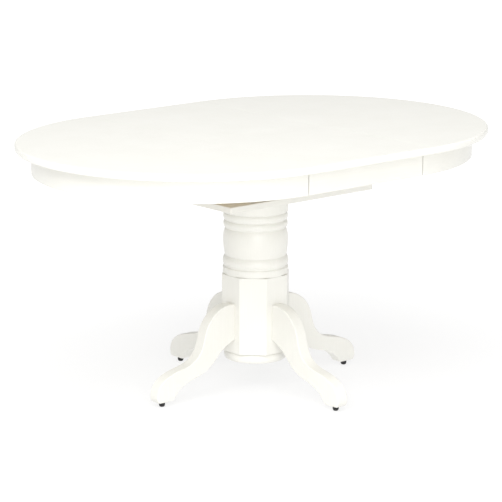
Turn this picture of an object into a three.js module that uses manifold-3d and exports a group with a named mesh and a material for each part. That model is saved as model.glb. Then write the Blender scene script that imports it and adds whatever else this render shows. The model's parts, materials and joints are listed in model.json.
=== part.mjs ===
// An oval pedestal dining table: a top of two round-ended halves on geared slides, with a folding
// leaf between them, on a turned and octagonal column with four S-shaped legs.
// Millimetres, +Z up. The origin is on the floor under the column; +X runs along the table.
import * as THREE from 'three';
import { mergeVertices } from 'three/addons/utils/BufferGeometryUtils.js';
import Module from 'manifold-3d';

const wasm = await Module();
wasm.setup();

// ---- Driving dimensions ----

// Top
const tableHeight = 762;
const topRadius = 521; // half the width, and the radius of both round ends
const leafWidth = 430;
const topThickness = 20;
const seamGap = 0.6; // between each half and the leaf, and between the leaf panels
// Aprons
const apronHeight = 68;
const apronThickness = 20;
const apronInset = 46; // from the edge of the top
const apronSeamGap = 3;
// Pedestal
const plateLength = 540;
const plateWidth = 422;
const plateThickness = 18;
const turnedLength = 242;
const turnedRadius = 96; // the plain bands above and below the turned work
const tenonRadius = 61;
const tenonLength = 40;
const blockAcrossFlats = 191;
const ringBottom = 87; // height of the base ring above the floor
const ringHeight = 28;
const ringRadius = 93;
const ringBore = 45;
// Legs
const legThickness = 37;
const legBoltHeights = { lower: 190, upper: 238 };
const legBoltGrip = 46; // how far a leg bolt reaches into the leg
const glideReach = 258; // from the block's face to the glide
const glideHeight = 15;
const glideRadius = 9;
const glideStemRadius = 3;
const glideStemLength = 18;
// Slides
const bearerHeight = 68;
const bearerWidth = 40;
const bearerInset = 60; // from the ends of the plate
const bearerEndInset = 38; // from the sides of the plate
const railSpread = 150; // from the middle of the table to the middle of a fixed rail
const railWidth = 40;
const railHeight = 64;
const railClearance = 4; // between a fixed rail and the top
const grooveDepth = 10;
const grooveHeight = 20;
const slideWidth = 36;
const slideHeight = 57;
const slideRoot = 15; // the moving slides stop this far from the middle of the table
const slideEndGap = 25; // from a moving slide's outer end to the apron
// Equalizer
const gearModule = 2;
const pinionTeeth = 18;
const pinionWidth = 14;
const pinionBelowTop = 6;
const axleHeadHeight = 3.5;
const pinionEndPlay = 1; // under the hub
const pinionHubRadius = 10;
const axleRadius = 4;
const pressureAngle = THREE.MathUtils.degToRad(20);
const backlash = 0.4;
const pinionDedendum = 1.25; // these three in modules
const rackDedendum = 1.2;
const rackAddendum = 0.9;
const rackBacking = 11; // solid width behind the rack's teeth
const rackTail = 345; // plain bar past the seam, where the rack is screwed to the half
const rackNose = 42; // past the middle of the table
const rackTravel = 30;
const gearBeamWidth = 60;
const gearBeamThickness = 20;
// Leaf and small parts
const barrelRadius = 6;
const barrelLength = 24;
const barrelOffset = 130; // from the middle of the leaf
const pinRadius = 4;
const pinFromEdge = 60; // least distance from the long side of the leaf
const pinInHalf = 20;
const pinInLeaf = 10;
const pinOffsets = [130, 400]; // from the middle of the table, along each seam of the near panel
const pivotRadius = 6;
const pivotLength = 60;
const pivotInLeaf = 11;
const restLength = 66;
const restWidth = 22;
const restThickness = 9;
const restHole = 2.6;
const restSetback = 28; // pivot of a leaf rest, from the seam
const restFromApron = 65;
// Fasteners
const boltRadius = 4;
const boltHeadRadius = 9;
const boltHeadHeight = 6;
const columnBoltSpread = 46; // along X and along Y
const columnBoltGrip = 60;
// Fits
const touchGap = 0.3; // left between pieces that touch
const boreGap = 0.3;
const runningGap = 0.1;
const slidingGap = 0.5;
const holeEndGap = 2; // between the end of a bolt or pin and the bottom of its hole
const past = 1; // how far a cutter runs past the face that it cuts

// ---- Heights and places that follow from them ----

const topUnderside = tableHeight - topThickness;
const railTop = topUnderside - railClearance;
const railBottom = railTop - railHeight;
const bearerTop = railBottom - touchGap;
const bearerBottom = bearerTop - bearerHeight;
const plateTop = bearerBottom - touchGap;
const plateBottom = plateTop - plateThickness;
const columnTop = plateBottom - touchGap;
const blockTop = columnTop - turnedLength;
const blockBottom = ringBottom + ringHeight + touchGap;
const leafHalf = leafWidth / 2;
const apronRadius = topRadius - apronInset;
const apronInner = apronRadius - apronThickness;
const blockFace = blockAcrossFlats / 2;
const bearerX = plateLength / 2 - bearerInset - bearerWidth / 2;
const grooveMiddle = railTop - railHeight / 2;
const pinionPitch = (gearModule * pinionTeeth) / 2;

// ---- Materials ----

const paint = new THREE.MeshStandardMaterial({ color: 0xf3f2e4, roughness: 0.42, metalness: 0 });
const rawWood = new THREE.MeshStandardMaterial({ color: 0xcdb083, roughness: 0.65, metalness: 0 });
const zincSteel = new THREE.MeshStandardMaterial({ color: 0xb4b6b8, roughness: 0.35, metalness: 1 });
const brass = new THREE.MeshStandardMaterial({ color: 0xb9995a, roughness: 0.35, metalness: 1 });
const nylon = new THREE.MeshStandardMaterial({ color: 0xe8e6dc, roughness: 0.5, metalness: 0 });
const blackPlastic = new THREE.MeshStandardMaterial({ color: 0x101010, roughness: 0.4, metalness: 0 });

// ---- Solids ----

// A closed geometry as a manifold solid, with its shared vertices merged and its slivers dropped.
function solidOf(geometry) {
  const bare = new THREE.BufferGeometry();
  bare.setAttribute('position', geometry.getAttribute('position'));
  if (geometry.index) bare.setIndex(geometry.index);
  const merged = mergeVertices(bare, 1e-3);
  const corners = [];
  for (let i = 0; i < merged.index.count; i += 3) {
    const [a, b, c] = merged.index.array.slice(i, i + 3);
    if (a !== b && b !== c && c !== a) corners.push(a, b, c);
  }
  return new wasm.Manifold(new wasm.Mesh({
    numProp: 3,
    vertProperties: new Float32Array(merged.attributes.position.array),
    triVerts: new Uint32Array(corners),
  }));
}

function geometryOf(solid) {
  const mesh = solid.getMesh();
  const geometry = new THREE.BufferGeometry();
  geometry.setAttribute('position', new THREE.BufferAttribute(new Float32Array(mesh.vertProperties), 3));
  geometry.setIndex(new THREE.BufferAttribute(new Uint32Array(mesh.triVerts), 1));
  return geometry;
}

function cut(geometry, ...tools) {
  let solid = solidOf(geometry);
  for (const tool of tools) solid = solid.subtract(solidOf(tool));
  return geometryOf(solid);
}

function join(geometry, ...others) {
  let solid = solidOf(geometry);
  for (const other of others) solid = solid.add(solidOf(other));
  return geometryOf(solid);
}

// A box between two corners.
function block(low, high) {
  const size = high.map((value, i) => value - low[i]);
  const middle = high.map((value, i) => (value + low[i]) / 2);
  return new THREE.BoxGeometry(...size).translate(...middle);
}

// A rod along Z between two heights, with its axis at (x, y).
function rodZ(radius, bottom, top, x = 0, y = 0, segments = 20) {
  return new THREE.CylinderGeometry(radius, radius, top - bottom, segments)
    .rotateX(Math.PI / 2)
    .translate(x, y, (top + bottom) / 2);
}

// A rod along X between two places, with its axis at (y, z).
function rodX(radius, start, end, y = 0, z = 0, segments = 20) {
  return new THREE.CylinderGeometry(radius, radius, end - start, segments)
    .rotateZ(-Math.PI / 2)
    .translate((start + end) / 2, y, z);
}

// A rod along Y between two places, with its axis at (x, z).
function rodY(radius, start, end, x = 0, z = 0, segments = 20) {
  return new THREE.CylinderGeometry(radius, radius, end - start, segments)
    .translate(x, (start + end) / 2, z);
}

// A flat outline in the XY plane as a plate between two heights.
function plate(shape, bottom, top, curveSegments = 12) {
  return new THREE.ExtrudeGeometry(shape, { depth: top - bottom, bevelEnabled: false, curveSegments })
    .translate(0, 0, bottom);
}

// A profile of (radius, height) turned about Z.
function turned(points, segments = 40) {
  return new THREE.LatheGeometry(points, segments).rotateX(Math.PI / 2);
}

function piece(name, geometry, material) {
  const mesh = new THREE.Mesh(geometry, material);
  mesh.name = name;
  return mesh;
}

// A bolt along +X: its head lies before x = 0, and its shank runs to x = grip.
function bolt(grip) {
  const head = rodX(boltHeadRadius, -boltHeadHeight, 0, 0, 0, 6);
  return join(head, rodX(boltRadius, -boltHeadHeight / 2, grip, 0, 0, 12));
}

// ---- Pedestal ----

function baseRing() {
  const profile = new THREE.Path();
  profile.moveTo(ringBore, 0);
  profile.lineTo(ringRadius - 9, 0);
  profile.quadraticCurveTo(ringRadius, 0, ringRadius, ringHeight / 2);
  profile.quadraticCurveTo(ringRadius, ringHeight, ringRadius - 7, ringHeight);
  profile.lineTo(ringBore, ringHeight);
  profile.lineTo(ringBore, 0);
  return turned(profile.getPoints(3), 36).translate(0, 0, ringBottom);
}

// A hollow octagonal block, drilled for the leg bolts on the four faces that carry legs.
function pedestalBlock() {
  const cornerRadius = blockFace / Math.cos(Math.PI / 8);
  const prism = new THREE.CylinderGeometry(cornerRadius, cornerRadius, blockTop - blockBottom, 8)
    .rotateX(Math.PI / 2)
    .rotateZ(Math.PI / 8)
    .translate(0, 0, (blockTop + blockBottom) / 2);
  const tools = [rodZ(tenonRadius + boreGap, blockBottom - past, blockTop + past, 0, 0, 40)];
  const reach = blockFace + past;
  for (const height of Object.values(legBoltHeights)) {
    tools.push(rodX(boltRadius + boreGap, -reach, reach, 0, height, 12));
    tools.push(rodY(boltRadius + boreGap, -reach, reach, 0, height, 12));
  }
  return cut(prism, ...tools);
}

// Heights run up from the top of the block; the tenon below it fits the block's bore.
function turnedColumn() {
  const r = turnedRadius;
  const profile = new THREE.Path();
  profile.moveTo(0, -tenonLength);
  profile.lineTo(tenonRadius, -tenonLength);
  profile.lineTo(tenonRadius, touchGap);
  profile.lineTo(r - 1.5, touchGap);
  profile.lineTo(r, 2);
  profile.lineTo(r, 19);
  profile.lineTo(r - 4, 23); // groove under the torus
  profile.lineTo(r - 4, 26);
  profile.quadraticCurveTo(r + 4.5, 40, r - 6, 54); // torus
  profile.bezierCurveTo(r - 1, 76, r + 3, 112, r - 6, 133); // barrel
  profile.lineTo(r - 7.5, 135);
  profile.lineTo(r - 6, 137.5);
  profile.quadraticCurveTo(r + 3, 147, r - 5, 156.5); // lower ring
  profile.lineTo(r - 6.5, 158.5);
  profile.lineTo(r - 5, 160.5);
  profile.quadraticCurveTo(r + 3, 170, r - 4.5, 180); // upper ring
  profile.lineTo(r - 5.5, 182);
  profile.lineTo(r, 184.5);
  profile.lineTo(r, turnedLength); // plain band under the plate
  profile.lineTo(0, turnedLength);
  const holeBottom = turnedLength - columnBoltGrip - holeEndGap;
  const holes = columnBoltPlaces().map(([x, y]) =>
    rodZ(boltRadius + boreGap, holeBottom, turnedLength + past, x, y, 12));
  return cut(turned(profile.getPoints(5), 36), ...holes).translate(0, 0, blockTop);
}

function columnBoltPlaces() {
  const s = columnBoltSpread;
  return [[s, s], [-s, s], [-s, -s], [s, -s]];
}

function mountingPlate() {
  const board = block(
    [-plateLength / 2, -plateWidth / 2, plateBottom],
    [plateLength / 2, plateWidth / 2, plateTop],
  );
  const holes = columnBoltPlaces().map(([x, y]) =>
    rodZ(boltRadius + boreGap, plateBottom - past, plateTop + past, x, y, 12));
  return cut(board, ...holes);
}

function pedestal() {
  const group = new THREE.Group();
  group.add(piece('base_ring', baseRing(), paint));
  group.add(piece('pedestal_block', pedestalBlock(), paint));
  group.add(piece('turned_column', turnedColumn(), paint));
  group.add(piece('mounting_plate', mountingPlate(), paint));
  columnBoltPlaces().forEach(([x, y], i) => {
    const columnBolt = piece(`column_bolt_${i + 1}`, bolt(plateThickness + columnBoltGrip), zincSteel);
    columnBolt.rotation.y = Math.PI / 2;
    columnBolt.position.set(x, y, plateTop + touchGap);
    group.add(columnBolt);
  });
  return group;
}

// ---- Legs ----

// The side view of a leg: x runs out from the block's face, y up from the floor.
function legOutline() {
  const shape = new THREE.Shape();
  shape.moveTo(touchGap, 264);
  shape.bezierCurveTo(54, 273, 99, 232, 110, 188); // shoulder
  shape.bezierCurveTo(123, 133, 136, 113, 201, 101); // hollow above the foot
  shape.bezierCurveTo(244, 93, 284, 76, 287, 38); // top of the foot
  shape.bezierCurveTo(288, 24, 284, glideHeight, 276, glideHeight);
  shape.lineTo(232, glideHeight);
  shape.bezierCurveTo(219, glideHeight, 227, 48, 146, 67); // arch under the foot
  shape.bezierCurveTo(60, 87, 77, 130, touchGap, 157);
  shape.closePath();
  return shape;
}

function leg() {
  const slab = plate(legOutline(), -legThickness / 2, legThickness / 2, 9).rotateX(Math.PI / 2);
  const holes = Object.values(legBoltHeights).map((height) =>
    rodX(boltRadius + boreGap, -past, legBoltGrip + holeEndGap, 0, height, 12));
  const stemTop = glideHeight + glideStemLength + holeEndGap;
  const stemHole = rodZ(glideStemRadius + boreGap, glideHeight - past, stemTop, glideReach, 0, 12);
  return cut(slab, ...holes, stemHole);
}

// A domed foot with a flat underside and a stem that is driven into the leg.
function glide() {
  const profile = new THREE.Path();
  profile.moveTo(0, 0);
  profile.lineTo(glideRadius / 2, 0);
  profile.quadraticCurveTo(glideRadius - 0.5, 2, glideRadius, glideHeight / 2);
  profile.lineTo(glideRadius, glideHeight - touchGap);
  profile.lineTo(glideStemRadius, glideHeight - touchGap);
  profile.lineTo(glideStemRadius, glideHeight + glideStemLength);
  profile.lineTo(0, glideHeight + glideStemLength);
  return turned(profile.getPoints(3), 14).translate(glideReach, 0, 0);
}

// Each leg's own frame: X runs out from the middle of one face of the block.
function legGroup(side, turn) {
  const group = new THREE.Group();
  group.rotation.z = turn;
  const parts = [piece(`leg_${side}`, leg(), paint), piece(`glide_${side}`, glide(), blackPlastic)];
  const seat = Math.sqrt(tenonRadius ** 2 - boltHeadRadius ** 2) - touchGap; // the bore is round
  const wall = blockFace - seat;
  for (const [level, height] of Object.entries(legBoltHeights)) {
    const geometry = bolt(wall + legBoltGrip).translate(-wall, 0, height);
    parts.push(piece(`leg_bolt_${side}_${level}`, geometry, zincSteel));
  }
  for (const part of parts) {
    part.position.x = blockFace;
    group.add(part);
  }
  return group;
}

// ---- Slides ----

// The section of a fixed rail in the YZ plane, grooved on both sides.
function railSection() {
  const half = railWidth / 2;
  const floor = half - grooveDepth;
  const low = grooveMiddle - grooveHeight / 2;
  const high = grooveMiddle + grooveHeight / 2;
  const rightSide = [[half, railBottom], [half, low], [floor, low]];
  rightSide.push([floor, high], [half, high], [half, railTop]);
  const leftSide = rightSide.map(([y, z]) => [-y, z]).reverse();
  return new THREE.Shape([...rightSide, ...leftSide].map(([y, z]) => new THREE.Vector2(y, z)));
}

// The section of a moving slide, with its tongue towards -Y at the face y = 0.
function slideSection() {
  const tongue = -(grooveDepth - slidingGap);
  const low = grooveMiddle - grooveHeight / 2 + slidingGap;
  const high = grooveMiddle + grooveHeight / 2 - slidingGap;
  const top = topUnderside - touchGap;
  const bottom = top - slideHeight;
  const points = [[0, bottom], [slideWidth, bottom], [slideWidth, top], [0, top]];
  points.push([0, high], [tongue, high], [tongue, low], [0, low]);
  return new THREE.Shape(points.map(([y, z]) => new THREE.Vector2(y, z)));
}

// A YZ section drawn out along X between two places.
function bar(section, start, end) {
  return new THREE.ExtrudeGeometry(section, { depth: end - start, bevelEnabled: false })
    .rotateX(Math.PI / 2)
    .rotateZ(Math.PI / 2)
    .translate(start, 0, 0);
}

// How far out along X a slide can run at a distance y from the middle, inside the curved apron.
function insideApron(y) {
  return leafHalf + Math.sqrt(apronInner ** 2 - y ** 2);
}

function fixedRail(side) {
  const y = side * railSpread;
  const rail = bar(railSection(), -plateLength / 2, plateLength / 2).translate(0, y, 0);
  if (side > 0) return rail;
  return cut(rail, rodZ(pivotRadius + boreGap, pivotBottom() - holeEndGap, railTop + past, 0, y));
}

// The left half's slides run outside the fixed rails and the right half's inside them.
function movingSlide(end, side) {
  const outside = end < 0;
  const face = railWidth / 2 + slidingGap;
  const farFace = railSpread + (outside ? face + slideWidth : face);
  const length = insideApron(farFace) - slideEndGap - slideRoot;
  const slide = bar(slideSection(), slideRoot, slideRoot + length);
  if (!outside) slide.rotateZ(Math.PI).translate(2 * slideRoot + length, 0, 0);
  slide.translate(0, railSpread + (outside ? face : -face), 0);
  return placed(slide, end, side);
}

// A geometry drawn for the right end and the far side, mirrored to the given end and side, with its
// faces still pointing out.
function placed(geometry, end, side = 1) {
  const copy = (geometry.index ? geometry.toNonIndexed() : geometry.clone()).scale(end, side, 1);
  if (end * side > 0) return copy;
  const position = copy.getAttribute('position');
  for (let i = 0; i < position.count; i += 3) {
    const second = new THREE.Vector3().fromBufferAttribute(position, i + 1);
    const third = new THREE.Vector3().fromBufferAttribute(position, i + 2);
    position.setXYZ(i + 1, third.x, third.y, third.z);
    position.setXYZ(i + 2, second.x, second.y, second.z);
  }
  return copy;
}

function slideGroup() {
  const group = new THREE.Group();
  for (const [name, end] of [['left', -1], ['right', 1]]) {
    const half = [bearerWidth / 2, plateWidth / 2 - bearerEndInset];
    const bearer = block([-half[0], -half[1], bearerBottom], [...half, bearerTop]);
    const mesh = piece(`bearer_${name}`, bearer, rawWood);
    mesh.position.x = end * bearerX;
    group.add(mesh);
  }
  for (const [name, side] of [['near', -1], ['far', 1]]) {
    group.add(piece(`fixed_rail_${name}`, fixedRail(side), rawWood));
    group.add(piece(`slide_left_${name}`, movingSlide(-1, side), rawWood));
    group.add(piece(`slide_right_${name}`, movingSlide(1, side), rawWood));
  }
  return group;
}

// ---- Equalizer: a pinion on the gear beam between two racks, one under each half ----

const beamTop = railBottom + gearBeamThickness;
const pinionTop = topUnderside - pinionBelowTop;
const pinionBottom = pinionTop - pinionWidth;
const axleHeadTop = pinionTop + axleHeadHeight;

// The outline of a spur gear with involute flanks and a tooth on the Y axis.
function gearOutline() {
  const base = pinionPitch * Math.cos(pressureAngle);
  const tip = pinionPitch + gearModule;
  const root = pinionPitch - pinionDedendum * gearModule;
  const involute = (angle) => Math.tan(angle) - angle;
  const pitchHalf = (Math.PI * gearModule / 2 - backlash) / (2 * pinionPitch);
  const halfAngle = (radius) =>
    pitchHalf + involute(pressureAngle) - involute(Math.acos(Math.min(1, base / radius)));
  const flank = [root, base, pinionPitch, tip];
  const points = [];
  for (let tooth = 0; tooth < pinionTeeth; tooth++) {
    const middle = Math.PI / 2 + (tooth * 2 * Math.PI) / pinionTeeth;
    const at = (radius, sign) => {
      const angle = middle + sign * halfAngle(Math.max(radius, base));
      return new THREE.Vector2(radius * Math.cos(angle), radius * Math.sin(angle));
    };
    points.push(...flank.map((radius) => at(radius, -1)));
    points.push(...[...flank].reverse().map((radius) => at(radius, 1)));
  }
  return new THREE.Shape(points);
}

function pinion() {
  const gear = plate(gearOutline(), pinionBottom, pinionTop);
  const hub = rodZ(pinionHubRadius, beamTop + pinionEndPlay, pinionBottom + past, 0, 0, 24);
  return cut(join(gear, hub), rodZ(axleRadius + runningGap, beamTop, pinionTop + past, 0, 0, 32));
}

function gearAxle() {
  const pin = rodZ(axleRadius, railBottom, axleHeadTop, 0, 0, 32);
  return join(pin, rodZ(pinionHubRadius - 2, pinionTop + touchGap, axleHeadTop, 0, 0, 24));
}

function gearBeam() {
  const half = plateLength / 2 - bearerInset;
  const beam = block([-half, -gearBeamWidth / 2, railBottom], [half, gearBeamWidth / 2, beamTop]);
  return cut(beam, rodZ(axleRadius + boreGap, railBottom - past, beamTop + past, 0, 0, 32));
}

// A bar toothed where it can meet the pinion. Its teeth point towards -Y, with a space at x = shift.
function rack(shift) {
  const pitch = Math.PI * gearModule;
  const tipLine = pinionPitch - rackAddendum * gearModule;
  const rootLine = pinionPitch + rackDedendum * gearModule;
  const halfAt = (y) => pitch / 4 - backlash / 2 + (y - pinionPitch) * Math.tan(pressureAngle);
  const back = rootLine + rackBacking;
  const points = [[-leafHalf - rackTail, back], [-leafHalf - rackTail, rootLine]];
  const first = -Math.round((leafHalf + rackTravel) / pitch);
  const last = Math.floor(rackNose / pitch) - 1;
  for (let tooth = first; tooth <= last; tooth++) {
    const middle = (tooth + 0.5) * pitch + shift;
    points.push([middle - halfAt(rootLine), rootLine], [middle - halfAt(tipLine), tipLine]);
    points.push([middle + halfAt(tipLine), tipLine], [middle + halfAt(rootLine), rootLine]);
  }
  points.push([rackNose, rootLine], [rackNose, back]);
  const outline = new THREE.Shape(points.map(([x, y]) => new THREE.Vector2(x, y)));
  return plate(outline, pinionBottom, topUnderside - touchGap);
}

function equalizer() {
  const group = new THREE.Group();
  group.add(piece('gear_beam', gearBeam(), rawWood));
  group.add(piece('gear_axle', gearAxle(), zincSteel));
  group.add(piece('equalizer_pinion', pinion(), nylon));
  group.add(piece('rack_left', rack(0), rawWood));
  // A tooth on one side of the pinion has a tooth opposite it only when their count is even.
  const shift = pinionTeeth % 2 ? (Math.PI * gearModule) / 2 : 0;
  group.add(piece('rack_right', rack(shift).rotateZ(Math.PI), rawWood));
  return group;
}

// ---- Top ----

// The angle from the Y axis at which an arc about the seam's middle meets the line x = start.
function arcStart(radius, start) {
  return Math.asin((start - leafHalf) / radius);
}

// Half of the top: a semicircle towards +X, its straight edge at the seam.
function halfOutline() {
  const skip = arcStart(topRadius, leafHalf + seamGap / 2);
  const shape = new THREE.Shape();
  shape.absarc(leafHalf, 0, topRadius, -Math.PI / 2 + skip, Math.PI / 2 - skip, false);
  shape.closePath();
  return shape;
}

function curvedApronOutline() {
  const start = leafHalf + apronSeamGap / 2;
  const outer = arcStart(apronRadius, start);
  const inner = arcStart(apronInner, start);
  const shape = new THREE.Shape();
  shape.absarc(leafHalf, 0, apronRadius, -Math.PI / 2 + outer, Math.PI / 2 - outer, false);
  shape.absarc(leafHalf, 0, apronInner, Math.PI / 2 - inner, -Math.PI / 2 + inner, true);
  shape.closePath();
  return shape;
}

const pinHeight = topUnderside + topThickness / 2;

// Where the alignment pins lie along each seam of the near panel.
function pinPlaces() {
  return pinOffsets.map((offset) => -Math.min(offset, topRadius - pinFromEdge));
}

function topHalf(end) {
  const slab = plate(halfOutline(), topUnderside, tableHeight, 32);
  const reach = leafHalf + pinInHalf + boreGap;
  const holes = pinPlaces().map((y) =>
    rodX(pinRadius + boreGap, leafHalf - past, reach, y, pinHeight, 16));
  return placed(cut(slab, ...holes), end);
}

function curvedApron(end) {
  const bottom = topUnderside - apronHeight;
  return placed(plate(curvedApronOutline(), bottom, topUnderside - touchGap, 24), end);
}

// A leaf rest lies under the seam, its pivot under the half and its tip under the leaf.
function leafRest(end, side) {
  const radius = restWidth / 2;
  const span = restLength - restWidth;
  const shape = new THREE.Shape();
  shape.absarc(0, 0, radius, Math.PI / 2, -Math.PI / 2, true);
  shape.absarc(-span, 0, radius, -Math.PI / 2, -3 * Math.PI / 2, true);
  shape.closePath();
  const top = topUnderside - touchGap;
  const strip = plate(shape, top - restThickness, top, 6);
  const rest = cut(strip, rodZ(restHole, top - restThickness - past, top + past, 0, 0, 10));
  return placed(rest, end, side)
    .translate(end * (leafHalf + restSetback), side * (apronInner - restFromApron), 0);
}

function topGroup() {
  const group = new THREE.Group();
  for (const [name, end] of [['left', -1], ['right', 1]]) {
    group.add(piece(`top_${name}`, topHalf(end), paint));
    group.add(piece(`apron_${name}`, curvedApron(end), paint));
    group.add(piece(`leaf_rest_${name}_near`, leafRest(end, -1), rawWood));
    group.add(piece(`leaf_rest_${name}_far`, leafRest(end, 1), rawWood));
    pinPlaces().forEach((y, i) => {
      const pin = rodX(pinRadius, leafHalf - pinInLeaf, leafHalf + pinInHalf, y, pinHeight, 16);
      group.add(piece(`align_pin_${name}_${i + 1}`, placed(pin, end), nylon));
    });
  }
  return group;
}

// ---- Leaf ----

const barrelHeight = topUnderside + topThickness / 2;

function pivotBottom() {
  return topUnderside + pivotInLeaf - pivotLength;
}

// The far panel lies at y > 0 and folds over the near one.
function leafPanel(side) {
  const inner = seamGap / 2;
  const edge = leafHalf - seamGap / 2;
  const panel = block([-edge, inner, topUnderside], [edge, topRadius, tableHeight]);
  const depth = inner + barrelLength + boreGap;
  const holes = [-1, 1].map((end) =>
    rodY(barrelRadius + boreGap, -past, depth, end * barrelOffset, barrelHeight, 20));
  const plain = placed(cut(panel, ...holes), 1, side);
  if (side > 0) return plain;
  const deep = leafHalf - pinInLeaf - holeEndGap;
  const pinHoles = pinPlaces().flatMap((y) => [
    rodX(pinRadius + boreGap, deep, leafHalf + past, y, pinHeight, 16),
    rodX(pinRadius + boreGap, -leafHalf - past, -deep, y, pinHeight, 16),
  ]);
  const pivotTop = topUnderside + pivotInLeaf + boreGap;
  const pivotHole = rodZ(pivotRadius + boreGap, topUnderside - past, pivotTop, 0, -railSpread);
  return cut(plain, ...pinHoles, pivotHole);
}

function leafGroup() {
  const group = new THREE.Group();
  const apronHalf = leafHalf - apronSeamGap / 2;
  for (const [name, side] of [['near', -1], ['far', 1]]) {
    group.add(piece(`leaf_${name}`, leafPanel(side), paint));
    const apron = block(
      [-apronHalf, apronInner, topUnderside - apronHeight],
      [apronHalf, apronRadius, topUnderside - touchGap],
    );
    group.add(piece(`leaf_apron_${name}`, placed(apron, 1, side), paint));
    for (const [endName, end] of [['left', -1], ['right', 1]]) {
      const start = seamGap / 2;
      const barrel = rodY(barrelRadius, start, start + barrelLength, end * barrelOffset, barrelHeight);
      group.add(piece(`hinge_barrel_${name}_${endName}`, placed(barrel, 1, side), brass));
    }
  }
  const pivot = rodZ(pivotRadius, pivotBottom(), pivotBottom() + pivotLength, 0, -railSpread);
  group.add(piece('leaf_pivot_pin', pivot, zincSteel));
  return group;
}

// ---- The table ----

const table = new THREE.Group();
const legTurns = { right: 0, far: Math.PI / 2, left: Math.PI, near: -Math.PI / 2 };
table.add(pedestal());
for (const [side, turn] of Object.entries(legTurns)) table.add(legGroup(side, turn));
table.add(slideGroup(), equalizer(), topGroup(), leafGroup());

export default table;
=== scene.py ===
import json
import math

import bmesh
import bpy
from mathutils import Matrix, Vector
from mathutils.geometry import interpolate_bezier


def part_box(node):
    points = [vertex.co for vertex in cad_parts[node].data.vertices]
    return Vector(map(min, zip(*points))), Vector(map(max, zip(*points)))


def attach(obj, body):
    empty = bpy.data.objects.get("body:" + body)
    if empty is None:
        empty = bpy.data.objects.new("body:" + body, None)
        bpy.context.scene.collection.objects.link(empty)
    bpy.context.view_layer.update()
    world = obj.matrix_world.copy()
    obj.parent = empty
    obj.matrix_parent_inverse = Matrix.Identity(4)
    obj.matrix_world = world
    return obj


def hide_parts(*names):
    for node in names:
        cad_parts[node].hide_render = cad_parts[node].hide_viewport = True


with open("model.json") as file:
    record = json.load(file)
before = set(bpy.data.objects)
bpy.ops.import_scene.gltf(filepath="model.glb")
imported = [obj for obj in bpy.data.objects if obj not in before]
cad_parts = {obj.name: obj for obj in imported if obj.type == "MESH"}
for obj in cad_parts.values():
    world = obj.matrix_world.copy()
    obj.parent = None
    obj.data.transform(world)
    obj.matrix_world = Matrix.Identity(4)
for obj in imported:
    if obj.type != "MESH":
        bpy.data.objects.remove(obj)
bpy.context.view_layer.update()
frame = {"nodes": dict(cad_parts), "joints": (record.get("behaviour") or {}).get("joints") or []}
print("frame loaded:", len(frame["nodes"]), "nodes")

mm = 0.001
fitGap = 0.3 * mm     # left round a pin or a barrel in its hole
hair = 0.01 * mm      # two places closer than this are the same place
overshoot = 10 * mm   # how far a cutter runs past the face that it cuts
xAxis, yAxis, zAxis = Vector((1, 0, 0)), Vector((0, 1, 0)), Vector((0, 0, 1))
ends = {"left": -1, "right": 1}
sides = {"near": -1, "far": 1}


# colours are sRGB hex, Blender wants them linear
def linear(hexCode):
    channels = [int(hexCode[i:i + 2], 16) / 255 for i in (0, 2, 4)]
    return [c / 12.92 if c <= 0.04045 else ((c + 0.055) / 1.055) ** 2.4 for c in channels] + [1]


# a setting is an attribute of the node or the value of one of its sockets
def addNode(tree, kind, settings=None, links=None):
    node = tree.nodes.new("ShaderNode" + kind)
    for name, value in (settings or {}).items():
        if hasattr(node, name):
            setattr(node, name, value)
        else:
            node.inputs[name].default_value = value
    for name, source in (links or {}).items():
        tree.links.new(source, node.inputs[name])
    return node


def newMaterial(name):
    material = bpy.data.materials.new(name)
    material.use_nodes = True
    material.node_tree.nodes.clear()
    return material, material.node_tree


lacquer = {
    "light": "eae9e3",
    "deep": "e6e5de",
    "patch": 90,       # mm, slow drift of the tone from coat to coat
    "grainAcross": 3,  # mm, wider than the real fibres so that it shows
    "grainAlong": 110,
    "peel": 5,         # mm, spray texture, drawn coarser than the real 1 mm
    "grainHeight": 0.06,
    "peelHeight": 0.05,
    "roughness": (0.3, 0.42),
}


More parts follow.
